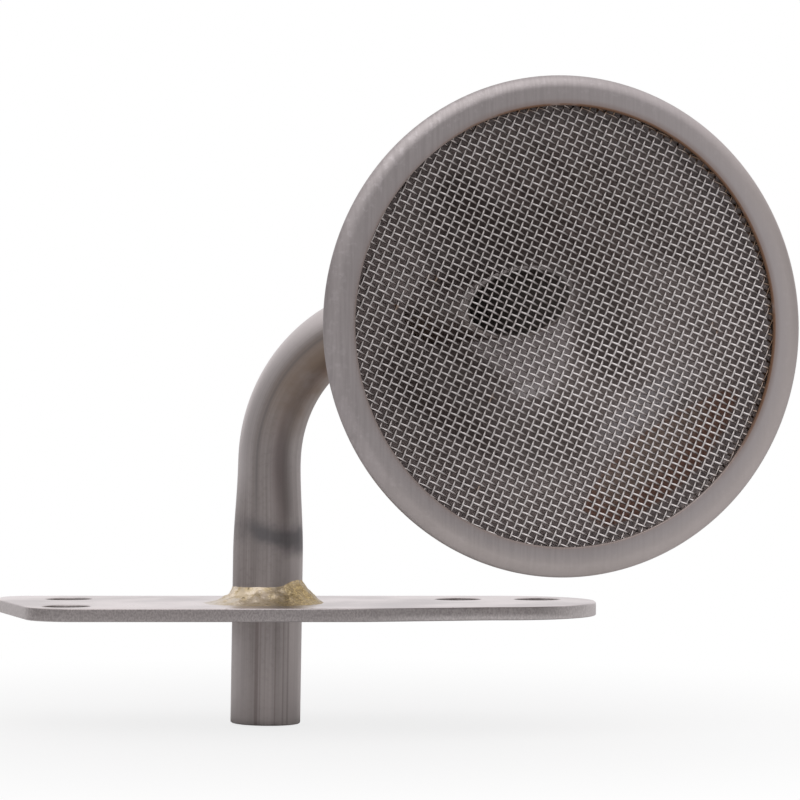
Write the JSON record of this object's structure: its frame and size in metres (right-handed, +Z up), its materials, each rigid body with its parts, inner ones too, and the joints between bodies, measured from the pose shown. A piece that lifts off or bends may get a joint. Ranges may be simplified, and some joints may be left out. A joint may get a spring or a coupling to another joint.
{
  "type": "oil pickup screen",
  "caption": "Bent suction tube brazed through a bolt plate and into a domed strainer bell, with a round woven wire screen held in the bell's folded rim.",
  "frame": {"origin": "on the suction tube's axis, in the plane of the plate's underside", "axes": "+Z up from the plate along the tube, +X along the plate towards its round end, and the screen faces -Y, turned a little towards +X"},
  "size_m": [0.182, 0.0761, 0.1444],
  "materials": {
    "tube_steel": "drawn steel, oiled and slightly browned",
    "plate_steel": "flat rolled steel, dull",
    "bell_steel": "pressed steel with light rust on the rim and inside",
    "braze": "brazing metal, uneven",
    "screen_wire": "bright drawn wire"
  },
  "bodies": {
    "root": {"suction_tube": "tube_steel", "mounting_plate": "plate_steel", "plate_braze": "braze", "strainer_bell": "bell_steel", "bell_braze": "braze", "screen_mesh": "screen_wire"}
  },
  "joints": []
}
